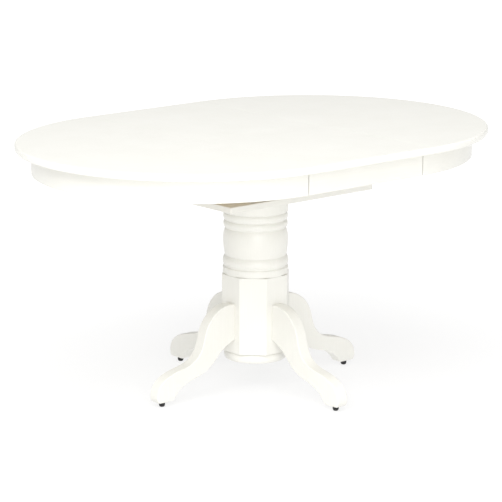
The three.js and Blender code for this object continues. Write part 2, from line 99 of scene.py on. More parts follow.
# Cream-white satin lacquer, sprayed on wood in several coats: a soft even sheen, the fibres just
# telling through it, and the faint orange peel that a spray gun leaves.
def satinLacquer(name, along):
    material, tree = newMaterial(name)
    place = addNode(tree, "TexCoord").outputs["Object"]
    across = 1 / (lacquer["grainAcross"] * mm)
    stretch = [across] * 3
    stretch["xyz".index(along)] = 1 / (lacquer["grainAlong"] * mm)
    fibres = addNode(tree, "Mapping", {"Scale": stretch}, {"Vector": place})
    tone = addNode(tree, "TexNoise", {"Scale": 1 / (lacquer["patch"] * mm), "Detail": 3},
                   {"Vector": place})
    grain = addNode(tree, "TexNoise", {"Scale": 1, "Detail": 4}, {"Vector": fibres.outputs["Vector"]})
    peel = addNode(tree, "TexNoise", {"Scale": 1 / (lacquer["peel"] * mm), "Detail": 2},
                   {"Vector": place})
    both = addNode(tree, "Math", {"operation": "MULTIPLY"},
                   {0: tone.outputs["Fac"], 1: grain.outputs["Fac"]})
    spread = addNode(tree, "MapRange", {"From Min": 0.05, "From Max": 0.4}, {"Value": both.outputs[0]})
    colour = addNode(tree, "ValToRGB", None, {"Fac": spread.outputs[0]})
    colour.color_ramp.elements[0].color = linear(lacquer["deep"])
    colour.color_ramp.elements[1].color = linear(lacquer["light"])
    glossy, dull = lacquer["roughness"]
    rough = addNode(tree, "MapRange", {"From Min": 0.3, "From Max": 0.7, "To Min": glossy, "To Max": dull},
                    {"Value": peel.outputs["Fac"]})
    raised = addNode(tree, "Bump", {"Strength": 0.35, "Distance": lacquer["grainHeight"] * mm},
                     {"Height": grain.outputs["Fac"]})
    sprayed = addNode(tree, "Bump", {"Strength": 0.4, "Distance": lacquer["peelHeight"] * mm},
                      {"Height": peel.outputs["Fac"], "Normal": raised.outputs["Normal"]})
    shader = addNode(tree, "BsdfPrincipled", {"IOR": 1.5, "Coat Weight": 0.12, "Coat Roughness": 0.22},
                     {"Base Color": colour.outputs["Color"], "Roughness": rough.outputs[0],
                      "Normal": sprayed.outputs["Normal"]})
    addNode(tree, "OutputMaterial", None, {"Surface": shader.outputs["BSDF"]})
    return material


rubberwoodFinish = {
    "pale": "dccaa9",
    "mid": "cfb78e",
    "fibre": "a98a60",
    "pore": "7d5c34",
    "rings": (14, 260),   # mm across the grain and along it
    "fibres": (1.6, 60),
    "pores": (0.9, 14),
    "poreDepth": 0.1,
    "fibreHeight": 0.08,
    "roughness": 0.62,
}


# Rubberwood, planed and left bare: straight pale grain with short open pores, quite matt.
def planedRubberwood(name, along):
    material, tree = newMaterial(name)
    place = addNode(tree, "TexCoord").outputs["Object"]
    axis = "xyz".index(along)

    def stretched(acrossMm, alongMm):
        scale = [1 / (acrossMm * mm)] * 3
        scale[axis] = 1 / (alongMm * mm)
        return addNode(tree, "Mapping", {"Scale": scale}, {"Vector": place}).outputs["Vector"]

    bands = addNode(tree, "TexNoise", {"Scale": 1, "Detail": 3, "Distortion": 0.6},
                    {"Vector": stretched(*rubberwoodFinish["rings"])})
    fibres = addNode(tree, "TexNoise", {"Scale": 1, "Detail": 5, "Roughness": 0.65},
                     {"Vector": stretched(*rubberwoodFinish["fibres"])})
    pores = addNode(tree, "TexNoise", {"Scale": 1, "Detail": 1},
                    {"Vector": stretched(*rubberwoodFinish["pores"])})
    ramp = addNode(tree, "ValToRGB", None, {"Fac": bands.outputs["Fac"]})
    ramp.color_ramp.elements[0].position = 0.35
    ramp.color_ramp.elements[0].color = linear(rubberwoodFinish["mid"])
    ramp.color_ramp.elements[1].position = 0.65
    ramp.color_ramp.elements[1].color = linear(rubberwoodFinish["pale"])
    dark = addNode(tree, "MapRange", {"From Min": 0.5, "From Max": 0.75, "To Max": 0.45},
                   {"Value": fibres.outputs["Fac"]})
    streaked = addNode(tree, "Mix", {"data_type": "RGBA"}, {"Factor": dark.outputs[0]})
    tree.links.new(ramp.outputs["Color"], streaked.inputs[6])
    streaked.inputs[7].default_value = linear(rubberwoodFinish["fibre"])
    openPore = addNode(tree, "MapRange", {"From Min": 0.66, "From Max": 0.72, "To Max": 0.7},
                       {"Value": pores.outputs["Fac"]})
    speckled = addNode(tree, "Mix", {"data_type": "RGBA"}, {"Factor": openPore.outputs[0]})
    tree.links.new(streaked.outputs[2], speckled.inputs[6])
    speckled.inputs[7].default_value = linear(rubberwoodFinish["pore"])
    sunk = addNode(tree, "Bump", {"Strength": 0.5, "Distance": rubberwoodFinish["poreDepth"] * mm,
                                  "invert": True}, {"Height": openPore.outputs[0]})
    lifted = addNode(tree, "Bump", {"Strength": 0.4, "Distance": rubberwoodFinish["fibreHeight"] * mm},
                     {"Height": fibres.outputs["Fac"], "Normal": sunk.outputs["Normal"]})
    shader = addNode(tree, "BsdfPrincipled", {"IOR": 1.5, "Roughness": rubberwoodFinish["roughness"]},
                     {"Base Color": speckled.outputs[2], "Normal": lifted.outputs["Normal"]})
    addNode(tree, "OutputMaterial", None, {"Surface": shader.outputs["BSDF"]})
    return material


# grain and bump are in mm
smallFinishes = {
    # zinc plate on steel: bright grey with a cloudy, slightly blue bloom
    "zincPlatedSteel": {
        "tones": ("c9ccce", "b3b8bf"), "grain": 4, "metallic": 1, "roughness": (0.24, 0.42), "bump": 0.02,
    },
    # brass bar turned on a lathe: cutter rings too fine to draw leave a soft uneven gloss
    "turnedBrass": {
        "tones": ("d8b46a", "c79f55"), "grain": 3, "metallic": 1, "roughness": (0.18, 0.34), "bump": 0.02,
    },
    # natural nylon, injection moulded: milky and waxy
    "mouldedNylon": {
        "tones": ("ece9dd", "e4e0d0"), "grain": 6, "metallic": 0, "roughness": (0.38, 0.5), "bump": 0.03,
    },
    # black polyethylene, injection moulded: nearly black, dull where it has rubbed the floor
    "mouldedPolyethylene": {
        "tones": ("141415", "1e1d1c"), "grain": 5, "metallic": 0, "roughness": (0.35, 0.55), "bump": 0.04,
    },
}


def smallFinish(name):
    look = smallFinishes[name]
    material, tree = newMaterial(name)
    place = addNode(tree, "TexCoord").outputs["Object"]
    cloud = addNode(tree, "TexNoise", {"Scale": 1 / (look["grain"] * mm), "Detail": 4}, {"Vector": place})
    colour = addNode(tree, "ValToRGB", None, {"Fac": cloud.outputs["Fac"]})
    colour.color_ramp.elements[0].position = 0.35
    colour.color_ramp.elements[0].color = linear(look["tones"][0])
    colour.color_ramp.elements[1].position = 0.65
    colour.color_ramp.elements[1].color = linear(look["tones"][1])
    glossy, dull = look["roughness"]
    rough = addNode(tree, "MapRange", {"From Min": 0.3, "From Max": 0.7, "To Min": glossy, "To Max": dull},
                    {"Value": cloud.outputs["Fac"]})
    dimples = addNode(tree, "Bump", {"Strength": 0.5, "Distance": look["bump"] * mm},
                      {"Height": cloud.outputs["Fac"]})
    shader = addNode(tree, "BsdfPrincipled", {"Metallic": look["metallic"]},
                     {"Base Color": colour.outputs["Color"], "Roughness": rough.outputs[0],
                      "Normal": dimples.outputs["Normal"]})
    addNode(tree, "OutputMaterial", None, {"Surface": shader.outputs["BSDF"]})
    return material


lacquerLong = satinLacquer("satinLacquerLong", "x")
lacquerCross = satinLacquer("satinLacquerCross", "y")
lacquerUpright = satinLacquer("satinLacquerUpright", "z")
rubberwoodLong = planedRubberwood("planedRubberwoodLong", "x")
rubberwoodCross = planedRubberwood("planedRubberwoodCross", "y")
zinc = smallFinish("zincPlatedSteel")
brass = smallFinish("turnedBrass")
nylon = smallFinish("mouldedNylon")
blackPlastic = smallFinish("mouldedPolyethylene")
print("materials made:", len(bpy.data.materials))


# a finished mesh as a piece on its body, with flat faces that stay flat beside their rounded edges
def addPiece(name, bm, material, body, slot, *nodes, sharpAngle=35):
    bmesh.ops.remove_doubles(bm, verts=bm.verts, dist=0.001 * mm)
    bmesh.ops.recalc_face_normals(bm, faces=bm.faces)
    mesh = bpy.data.meshes.new(name)
    bm.to_mesh(mesh)
    bm.free()
    mesh.materials.append(material)
    mesh.shade_smooth()
    mesh.set_sharp_from_angle(angle=math.radians(sharpAngle))
    piece = bpy.data.objects.new(name, mesh)
    bpy.context.scene.collection.objects.link(piece)
    weights = piece.modifiers.new("flatFaces", "WEIGHTED_NORMAL")
    weights.keep_sharp = True
    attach(piece, body)
    if nodes:
        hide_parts(*nodes)
    return piece


def bevel(bm, edges, width, segments=4):
    bmesh.ops.bevel(bm, geom=list(edges), offset=width, offset_type="OFFSET", segments=segments,
                    profile=0.5, affect="EDGES", material=-1, clamp_overlap=False)


# bodies of round cutters along an axis, taken out of the bmesh by a boolean
def drill(bm, holes, sides=32):
    work = bpy.data.meshes.new("work")
    bm.to_mesh(work)
    blank = bpy.data.objects.new("work", work)
    cutterBm = bmesh.new()
    for start, end, radius in holes:
        start, end = Vector(start), Vector(end)
        turn = zAxis.rotation_difference(end - start).to_matrix().to_4x4()
        place = Matrix.Translation((start + end) / 2) @ turn
        bmesh.ops.create_cone(cutterBm, cap_ends=True, segments=sides, radius1=radius, radius2=radius,
                              depth=(end - start).length, matrix=place)
    cutterMesh = bpy.data.meshes.new("cutter")
    cutterBm.to_mesh(cutterMesh)
    cutterBm.free()
    cutter = bpy.data.objects.new("cutter", cutterMesh)
    for item in (blank, cutter):
        bpy.context.scene.collection.objects.link(item)
    boolean = blank.modifiers.new("holes", "BOOLEAN")
    boolean.operation = "DIFFERENCE"
    boolean.solver = "EXACT"
    boolean.object = cutter
    depsgraph = bpy.context.evaluated_depsgraph_get()
    cutMesh = bpy.data.meshes.new_from_object(blank.evaluated_get(depsgraph))
    bm.clear()
    bm.from_mesh(cutMesh)
    for item in (blank, cutter):
        bpy.data.objects.remove(item)
    for mesh in (work, cutterMesh, cutMesh):
        bpy.data.meshes.remove(mesh)


# straight and curved runs of an outline: ("line", end) or ("curve", handle, handle, end, steps)
def runOutline(start, runs):
    points = [Vector(start)]
    for kind, *rest in runs:
        if kind == "line":
            points.append(Vector(rest[0]))
        else:
            first, second, end, steps = rest
            curve = interpolate_bezier(points[-1], Vector(first), Vector(second), Vector(end), steps + 1)
            points.extend(curve[1:])
    return points


# a profile of (radius, height) in mm, turned about a vertical axis
def turnProfile(points, centre=(0, 0), base=0.0, steps=128):
    bm = bmesh.new()
    verts = [bm.verts.new((centre[0] + p[0] * mm, centre[1], base + p[1] * mm)) for p in points]
    edges = [bm.edges.new(pair) for pair in zip(verts, verts[1:])]
    bmesh.ops.spin(bm, geom=verts + edges, cent=(*centre, 0), axis=zAxis, angle=math.tau, steps=steps,
                   use_merge=True)
    bmesh.ops.remove_doubles(bm, verts=bm.verts, dist=0.001 * mm)
    return bm


# a box between two corners, its edges eased
def easedBox(low, high, width, segments=3):
    bm = bmesh.new()
    size = Vector(high) - Vector(low)
    place = Matrix.Translation((Vector(low) + Vector(high)) / 2) @ Matrix.Diagonal((*size, 1))
    bmesh.ops.create_cube(bm, size=1, matrix=place)
    if width:
        bevel(bm, bm.edges[:], width, segments)
    return bm


# a merged copy of a CAD node, with its sharp outer edges eased
def easedCopy(node, width, segments=2, minAngle=40):
    bm = bmesh.new()
    bm.from_mesh(frame["nodes"][node].data)
    bmesh.ops.remove_doubles(bm, verts=bm.verts, dist=hair)
    bmesh.ops.dissolve_limit(bm, angle_limit=math.radians(0.5), verts=bm.verts, edges=bm.edges)
    sharp = [e for e in bm.edges if e.is_convex and e.calc_face_angle(0) > math.radians(minAngle)]
    bevel(bm, sharp, width, segments)
    return bm


def spanOf(node):
    low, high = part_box(node)
    return low, high, (low + high) / 2


baseRingShape = {"bore": 45, "radius": 93, "shoulder": 9, "steps": 10}


def buildBaseRing():
    low, high, _ = spanOf("base_ring")
    tall = (high.z - low.z) / mm
    r, soft = baseRingShape["radius"], baseRingShape["shoulder"]
    steps = baseRingShape["steps"]
    outline = runOutline((baseRingShape["bore"], 0, 0), [
        ("line", (r - soft, 0, 0)),
        ("curve", (r - 3, 0, 0), (r, tall * 0.2, 0), (r, tall / 2, 0), steps),
        ("curve", (r, tall * 0.8, 0), (r - 2.3, tall, 0), (r - soft + 2, tall, 0), steps),
        ("line", (baseRingShape["bore"], tall, 0)),
        ("line", (baseRingShape["bore"], 0, 0)),
    ])
    bm = turnProfile(outline, base=low.z)
    addPiece("turned_base_ring", bm, lacquerUpright, "pedestal", "painted_wood", "base_ring")


# a bore for a leg bolt starts inside the block's own bore
blockShape = {"bore": 61.3, "arris": 1.2, "boltBore": 4.3, "boltBoreStart": 50}


# an octagonal block glued up from staves, its arrises just broken
def buildBlock():
    low, high, _ = spanOf("pedestal_block")
    bm = bmesh.new()
    cornerRadius = high.x / math.cos(math.pi / 8)
    ring = bmesh.ops.create_circle(bm, segments=8, radius=cornerRadius)["verts"]
    bmesh.ops.rotate(bm, verts=ring, cent=(0, 0, 0), matrix=Matrix.Rotation(math.pi / 8, 3, "Z"))
    bmesh.ops.translate(bm, verts=ring, vec=(0, 0, low.z))
    floor = bmesh.ops.contextual_create(bm, geom=bm.edges[:])["faces"]
    raised = bmesh.ops.extrude_face_region(bm, geom=floor)["geom"]
    top = [item for item in raised if isinstance(item, bmesh.types.BMVert)]
    bmesh.ops.translate(bm, verts=top, vec=(0, 0, high.z - low.z))
    bmesh.ops.recalc_face_normals(bm, faces=bm.faces)
    bevel(bm, bm.edges[:], blockShape["arris"] * mm, 3)
    holes = [((0, 0, low.z - overshoot), (0, 0, high.z + overshoot), blockShape["bore"] * mm)]
    start, end = blockShape["boltBoreStart"] * mm, high.x + overshoot
    for level in ("lower", "upper"):
        for side, along in (("right", xAxis), ("left", -xAxis), ("far", yAxis), ("near", -yAxis)):
            height = zAxis * spanOf(f"leg_bolt_{side}_{level}")[2].z
            holes.append((height + along * start, height + along * end, blockShape["boltBore"] * mm))
    drill(bm, holes, 64)
    addPiece("octagonal_block", bm, lacquerUpright, "pedestal", "painted_wood", "pedestal_block")


columnShape = {"radius": 96, "tenon": 61, "tenonLength": 40, "steps": 10}


def buildColumn():
    low, high, _ = spanOf("turned_column")
    seat = low.z + columnShape["tenonLength"] * mm  # where the shoulder meets the block
    tall = (high.z - seat) / mm
    r, steps = columnShape["radius"], columnShape["steps"]
    outline = runOutline((0, -columnShape["tenonLength"], 0), [
        ("line", (columnShape["tenon"] - 1.5, -columnShape["tenonLength"], 0)),
        ("line", (columnShape["tenon"], 1.5 - columnShape["tenonLength"], 0)),
        ("line", (columnShape["tenon"], 0.3, 0)),
        ("line", (r - 0.8, 0.3, 0)),
        ("curve", (r - 0.3, 0.3, 0), (r, 0.6, 0), (r, 1.2, 0), 4),
        ("line", (r, 18, 0)),
        ("curve", (r, 20.5, 0), (r - 4, 20.5, 0), (r - 4, 23, 0), 6),  # cove under the torus
        ("line", (r - 4, 25.6, 0)),
        ("curve", (r + 1.3, 29, 0), (r + 3, 44, 0), (r - 6, 54, 0), steps * 2),  # torus
        ("curve", (r - 1, 76, 0), (r + 3, 112, 0), (r - 6, 133, 0), steps * 2),  # barrel
        ("line", (r - 7.5, 135, 0)),
        ("line", (r - 6, 137.3, 0)),
        ("curve", (r - 0.2, 141, 0), (r - 0.2, 153, 0), (r - 5, 156.7, 0), steps),  # lower ring
        ("line", (r - 6.5, 158.5, 0)),
        ("line", (r - 5, 160.3, 0)),
        ("curve", (r, 164, 0), (r, 176.5, 0), (r - 4.5, 180, 0), steps),  # upper ring
        ("line", (r - 5.5, 182, 0)),
        ("curve", (r - 2, 182.6, 0), (r, 183.4, 0), (r, 185.5, 0), 5),
        ("line", (r, tall - 0.8, 0)),
        ("line", (r - 0.8, tall, 0)),
        ("line", (0, tall, 0)),
    ])
    bm = turnProfile(outline, base=seat)
    addPiece("turned_column_finished", bm, lacquerUpright, "pedestal", "painted_wood", "turned_column")


plateEdges = {"corner": 4, "arris": 2.2}


def buildPlate():
    low, high, _ = spanOf("mounting_plate")
    bm = easedBox(low, high, 0)
    upright = [e for e in bm.edges if abs((e.verts[0].co - e.verts[1].co).z) > 1 * mm]
    bevel(bm, upright, plateEdges["corner"] * mm, 5)
    rims = [e for e in bm.edges if abs((e.verts[0].co - e.verts[1].co).z) < hair
            and e.calc_face_angle(0) > math.radians(60)]
    bevel(bm, rims, plateEdges["arris"] * mm, 4)
    addPiece("mounting_plate_finished", bm, lacquerLong, "pedestal", "painted_wood", "mounting_plate")


# x runs out from the block's face and y up from the floor, in mm
legShape = {
    "start": (0.3, 264),
    "shoulder": ((54, 273), (99, 232), (110, 188)),
    "hollow": ((123, 133), (136, 113), (201, 101)),
    "foot": ((244, 93), (284, 76), (287, 38)),
    "toe": ((288, 24), (284, 15), (276, 15)),
    "pad": (232, 15),
    "arch": ((219, 15), (227, 48), (146, 67)),
    "knee": ((60, 87), (77, 130), (0.3, 157)),
    "arris": 3,
    "steps": 18,
    "stemBore": 3.3,
    "stemBoreTop": 36,
}


def buildLeg(side, turn):
    thick = spanOf("leg_right")[1].y * 2
    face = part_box("pedestal_block")[1].x
    steps = legShape["steps"]

    def at(point):
        return Vector((point[0] * mm, 0, point[1] * mm))

    runs = [("curve", *[at(p) for p in legShape[part]], steps) for part in ("shoulder", "hollow", "foot")]
    runs.append(("curve", *[at(p) for p in legShape["toe"]], 8))
    runs.append(("line", at(legShape["pad"])))
    runs += [("curve", *[at(p) for p in legShape[part]], steps) for part in ("arch", "knee")]
    points = runOutline(at(legShape["start"]), runs)
    bm = bmesh.new()
    verts = [bm.verts.new(p) for p in points]
    outline = bm.faces.new(verts)
    bmesh.ops.translate(bm, verts=verts, vec=(0, -thick / 2, 0))
    other = bmesh.ops.extrude_face_region(bm, geom=[outline])["geom"]
    moved = [item for item in other if isinstance(item, bmesh.types.BMVert)]
    bmesh.ops.translate(bm, verts=moved, vec=(0, thick, 0))
    bmesh.ops.recalc_face_normals(bm, faces=bm.faces)
    # the arris is rounded all round except where the leg meets the block
    rims = [e for e in bm.edges if abs((e.verts[0].co - e.verts[1].co).y) < hair
            and max(v.co.x for v in e.verts) > 1 * mm]
    bevel(bm, rims, legShape["arris"] * mm, 5)
    reach = spanOf("glide_right")[2].x - face
    low, high = legShape["pad"][1] * mm - overshoot, legShape["stemBoreTop"] * mm
    drill(bm, [((reach, 0, low), (reach, 0, high), legShape["stemBore"] * mm)], 24)
    bmesh.ops.translate(bm, verts=bm.verts, vec=(face, 0, 0))
    bmesh.ops.rotate(bm, verts=bm.verts, cent=(0, 0, 0), matrix=Matrix.Rotation(turn, 3, "Z"))
    addPiece(f"curved_leg_{side}", bm, lacquerUpright, "pedestal", "painted_wood", f"leg_{side}")


glideShape = {"radius": 9, "stem": 3, "stemLength": 18, "seat": 15, "gap": 0.3}


def buildGlide(side):
    centre = spanOf(f"glide_{side}")[2]
    r, stem = glideShape["radius"], glideShape["stem"]
    tall = glideShape["seat"] - glideShape["gap"]
    tip = glideShape["seat"] + glideShape["stemLength"]
    outline = runOutline((0, 0, 0), [
        ("line", (r * 0.5, 0, 0)),
        ("curve", (r * 0.8, 0, 0), (r, 4, 0), (r, 8, 0), 8),
        ("line", (r, tall - 0.8, 0)),
        ("line", (r - 0.8, tall, 0)),
        ("line", (stem, tall, 0)),
        ("line", (stem, tip - 1, 0)),
        ("line", (stem - 1, tip, 0)),
        ("line", (0, tip, 0)),
    ])
    bm = turnProfile(outline, (centre.x, centre.y), steps=48)
    addPiece(f"black_glide_{side}", bm, blackPlastic, "pedestal", "black_plastic", f"glide_{side}")


buildBaseRing()
buildBlock()
buildColumn()
buildPlate()
for side, turn in (("right", 0), ("far", 0.5), ("left", 1), ("near", 1.5)):
    buildLeg(side, turn * math.pi)
    buildGlide(side)
print("pedestal built")


# seam edges shorter than shortest, or within pastRim of the rounded end, are left as they are
topEdge = {"top": 6.5, "under": 5, "seam": 0.5, "steps": 144, "shortest": 50, "pastRim": 8}


# where the alignment pins and hinge barrels go in, a little larger than each
def boresFor(nodes, past, along):
    bores = []
    for node in nodes:
        low, high, centre = spanOf(node)
        radius = (high.z - low.z) / 2 + fitGap
        reach = (high - low)["xyz".index(along)] / 2
        axis = xAxis if along == "x" else yAxis
        bores.append((centre - axis * (reach + past), centre + axis * (reach + past), radius))
    return bores


def roundRims(bm, isRim, high, low):
    for height, width in ((high.z, topEdge["top"]), (low.z, topEdge["under"])):
        rims = [e for e in bm.edges if isRim(e) and all(abs(v.co.z - height) < hair for v in e.verts)]
        bevel(bm, rims, width * mm, 6)


def easeSeams(bm, high, low, isSeam):
    for height in (high.z, low.z):
        seams = [e for e in bm.edges if isSeam(e) and all(abs(v.co.z - height) < hair for v in e.verts)
                 and e.calc_length() > topEdge["shortest"] * mm]
        bevel(bm, seams, topEdge["seam"] * mm, 2)


def buildTopHalf(name, end):
    low, high, _ = spanOf(f"top_{name}")
    radius = high.y
    seam = low.x if end > 0 else high.x
    centre = (high.x - radius) if end > 0 else (low.x + radius)
    skip = math.asin((abs(seam) - abs(centre)) / radius)
    bm = bmesh.new()
    start = Vector((centre, 0, low.z)) + Matrix.Rotation(end * skip, 3, "Z") @ Vector((0, -radius, 0))
    corner = bm.verts.new(start)
    bmesh.ops.spin(bm, geom=[corner], cent=(centre, 0, 0), axis=zAxis, angle=end * (math.pi - 2 * skip),
                   steps=topEdge["steps"])
    bm.verts.ensure_lookup_table()
    lastVert = [v for v in bm.verts if len(v.link_edges) == 1 and v != corner][0]
    bm.edges.new((lastVert, corner))
    face = bmesh.ops.contextual_create(bm, geom=bm.edges[:])["faces"]
    raised = bmesh.ops.extrude_face_region(bm, geom=face)["geom"]
    moved = [item for item in raised if isinstance(item, bmesh.types.BMVert)]
    bmesh.ops.translate(bm, verts=moved, vec=(0, 0, high.z - low.z))
    bmesh.ops.recalc_face_normals(bm, faces=bm.faces)

    def onSeam(edge):
        return all(abs(v.co.x - seam) < hair for v in edge.verts)

    roundRims(bm, lambda e: not onSeam(e), high, low)
    easeSeams(bm, high, low, onSeam)
    pins = [f"align_pin_{name}_{i}" for i in (1, 2)]
    drill(bm, boresFor(pins, fitGap, "x"))
    addPiece(f"top_{name}_finished", bm, lacquerLong, f"{name}_half", "painted_wood", f"top_{name}")


def buildLeafPanel(name, side, body):
    low, high, _ = spanOf(f"leaf_{name}")
    bm = easedBox(low, high, 0)
    outer = high.y if side > 0 else low.y
    roundRims(bm, lambda e: all(abs(v.co.y - outer) < hair for v in e.verts), high, low)
    pastRim = topEdge["pastRim"] * mm
    easeSeams(bm, high, low, lambda e: not all(abs(v.co.y - outer) < pastRim for v in e.verts))
    holes = boresFor([f"hinge_barrel_{name}_{e}" for e in ends], fitGap, "y")
    if name == "near":
        pins = [f"align_pin_{e}_{i}" for e in ends for i in (1, 2)]
        holes += boresFor(pins, 2 * mm, "x")  # a little deeper than the pins reach
        pivotLow, pivotHigh, pivot = spanOf("leaf_pivot_pin")
        holes.append(((pivot.x, pivot.y, low.z - overshoot), (pivot.x, pivot.y, pivotHigh.z + fitGap),
                      (pivotHigh.x - pivotLow.x) / 2 + fitGap))
    drill(bm, holes)
    addPiece(f"leaf_{name}_finished", bm, lacquerCross, body, "painted_wood", f"leaf_{name}")


apronShape = {
    "arris": 2,
    "steps": 128,
    "screwBore": 4.5,
    "screwDepth": 14,
    "screwAngles": (-78, -47, -16, 16, 47, 78),  # degrees round the curved aprons
    "leafScrews": 0.62,  # share of the way from the middle of the leaf to its seam
}


# screws run up through the apron from deep bores in its lower edge
def apronBores(places, bottom):
    depth = apronShape["screwDepth"] * mm
    bore = apronShape["screwBore"] * mm
    return [((x, y, bottom - overshoot), (x, y, bottom + depth), bore) for x, y in places]


def curvedApronPlaces(end):
    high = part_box("apron_right")[1]
    middle = spanOf("leaf_apron_far")[2].y
    centre = high.x - high.y
    angles = [math.radians(a) for a in apronShape["screwAngles"]]
    return [(end * (centre + middle * math.cos(a)), middle * math.sin(a)) for a in angles]


def buildCurvedApron(name, end):
    low, high, _ = spanOf(f"apron_{name}")
    inner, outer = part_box("leaf_apron_far")[0].y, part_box("leaf_apron_far")[1].y
    centre = (high.x - outer) if end > 0 else (low.x + outer)
    seam = low.x if end > 0 else high.x
    skip = math.asin((abs(seam) - abs(centre)) / inner)
    bm = bmesh.new()
    corners = [(inner, low.z), (outer, low.z), (outer, high.z), (inner, high.z)]
    section = bm.faces.new([bm.verts.new((centre, -y, z)) for y, z in corners])
    geometry = section.verts[:] + section.edges[:] + [section]
    turn = Matrix.Rotation(end * skip, 3, "Z")
    bmesh.ops.rotate(bm, verts=section.verts, cent=(centre, 0, 0), matrix=turn)
    bmesh.ops.spin(bm, geom=geometry, cent=(centre, 0, 0), axis=zAxis, angle=end * (math.pi - 2 * skip),
                   steps=apronShape["steps"])
    # the section turned radially, so its ends are pulled square to the seam
    for vert in bm.verts:
        if abs(vert.co.x - seam) < 1 * mm:
            vert.co.x = seam
    bmesh.ops.recalc_face_normals(bm, faces=bm.faces)
    rims = [e for e in bm.edges if e.is_manifold and e.calc_face_angle(0) > math.radians(60)
            and not all(v.co.z > high.z - 1 * mm for v in e.verts)]
    bevel(bm, rims, apronShape["arris"] * mm, 4)
    drill(bm, apronBores(curvedApronPlaces(end), low.z))
    addPiece(f"apron_{name}_finished", bm, lacquerLong, f"{name}_half", "painted_wood", f"apron_{name}")


def leafApronPlaces(side):
    _, high, centre = spanOf("leaf_apron_far")
    return [(end * high.x * apronShape["leafScrews"], side * centre.y) for end in (-1, 1)]


def buildLeafApron(name, side, body):
    low, high, _ = spanOf(f"leaf_apron_{name}")
    bm = easedBox(low, high, 0)
    rims = [e for e in bm.edges if not all(v.co.z > high.z - 1 * mm for v in e.verts)]
    bevel(bm, rims, apronShape["arris"] * mm, 4)
    drill(bm, apronBores(leafApronPlaces(side), low.z))
    addPiece(f"leaf_apron_{name}_finished", bm, lacquerLong, body, "painted_wood", f"leaf_apron_{name}")


for name, end in ends.items():
    buildTopHalf(name, end)
    buildCurvedApron(name, end)
for name, side in sides.items():
    body = "pedestal" if name == "near" else "folding_panel"
    buildLeafPanel(name, side, body)
    buildLeafApron(name, side, body)
print("top, leaf and aprons built")


# a tongue sticks out of one side of each slide, so the bar's own middle is off the box's
slideScrews = {"bore": 5.5, "depth": 24, "inset": 45, "count": 4, "tongue": 9.5}


# places along a slide, clear of its ends
def slideScrewPlaces(node):
    low, high, centre = spanOf(node)
    inset = slideScrews["inset"] * mm
    step = (high.x - low.x - 2 * inset) / (slideScrews["count"] - 1)
    outward = 1 if "slide_left" in node else -1
    shift = outward * slideScrews["tongue"] * mm / 2
    middle = math.copysign(abs(centre.y) + shift, centre.y)
    return [(low.x + inset + i * step, middle) for i in range(slideScrews["count"])]


def slideBores(node):
    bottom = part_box(node)[0].z
    bore, depth = slideScrews["bore"] * mm, slideScrews["depth"] * mm
    return [((x, y, bottom - overshoot), (x, y, bottom + depth), bore) for x, y in slideScrewPlaces(node)]


def buildRunningGear():
    for end in ends:
        bm = easedCopy(f"bearer_{end}", 1.5 * mm, 3)
        addPiece(f"bearer_{end}_planed", bm, rubberwoodCross, "pedestal", "raw_wood", f"bearer_{end}")
        bm = easedCopy(f"rack_{end}", 0.2 * mm, 1)
        addPiece(f"rack_{end}_milled", bm, rubberwoodLong, f"{end}_half", "raw_wood", f"rack_{end}")
        for side in sides:
            node = f"slide_{end}_{side}"
            bm = easedCopy(node, 1 * mm)
            drill(bm, slideBores(node), 24)
            addPiece(f"{node}_planed", bm, rubberwoodLong, f"{end}_half", "raw_wood", node)
            rest = f"leaf_rest_{end}_{side}"
            bm = easedCopy(rest, 1 * mm)
            addPiece(f"{rest}_planed", bm, rubberwoodCross, f"rest_{end}_{side}", "raw_wood", rest)
    for side in sides:
        node = f"fixed_rail_{side}"
        bm = easedCopy(node, 1 * mm)
        addPiece(f"{node}_planed", bm, rubberwoodLong, "pedestal", "raw_wood", node)
    bm = easedCopy("gear_beam", 1.2 * mm)
    addPiece("gear_beam_planed", bm, rubberwoodLong, "pedestal", "raw_wood", "gear_beam")
    bm = easedCopy("equalizer_pinion", 0.25 * mm, 2)
    addPiece("equalizer_pinion_moulded", bm, nylon, "pinion", "nylon", "equalizer_pinion")
    bm = easedCopy("gear_axle", 0.5 * mm)
    addPiece("gear_axle_plated", bm, zinc, "pedestal", "zinc_steel", "gear_axle")


boltNodes = [n for n in frame["nodes"] if "_bolt_" in n]


def buildHardware():
    for node in boltNodes:
        bm = easedCopy(node, 0.6 * mm)
        addPiece(f"{node}_plated", bm, zinc, "pedestal", "zinc_steel", node)
    pivot = easedCopy("leaf_pivot_pin", 0.8 * mm)
    addPiece("leaf_pivot_pin_plated", pivot, zinc, "pedestal", "zinc_steel", "leaf_pivot_pin")
    for end in ends:
        for i in (1, 2):
            node = f"align_pin_{end}_{i}"
            bm = easedCopy(node, 1.4 * mm, 3)
            addPiece(f"{node}_moulded", bm, nylon, f"{end}_half", "nylon", node)
        for side in sides:
            node = f"hinge_barrel_{side}_{end}"
            body = "pedestal" if side == "near" else "folding_panel"
            bm = easedCopy(node, 0.5 * mm)
            addPiece(f"{node}_turned", bm, brass, body, "brass", node)


woodScrew = {"head": 4.2, "dome": 2.4, "shank": 1.9, "length": 26, "tip": 5, "slot": 1.1, "slotShare": 1.1}
screwPlaces = {
    "rackFromEnd": (25, 140, 255),
    "rackBacking": 2.5,  # from the middle of the rack, away from its teeth
    "bearer": (-140, 0, 140),
    "restSeat": 0.1,     # below the leaf rest
}


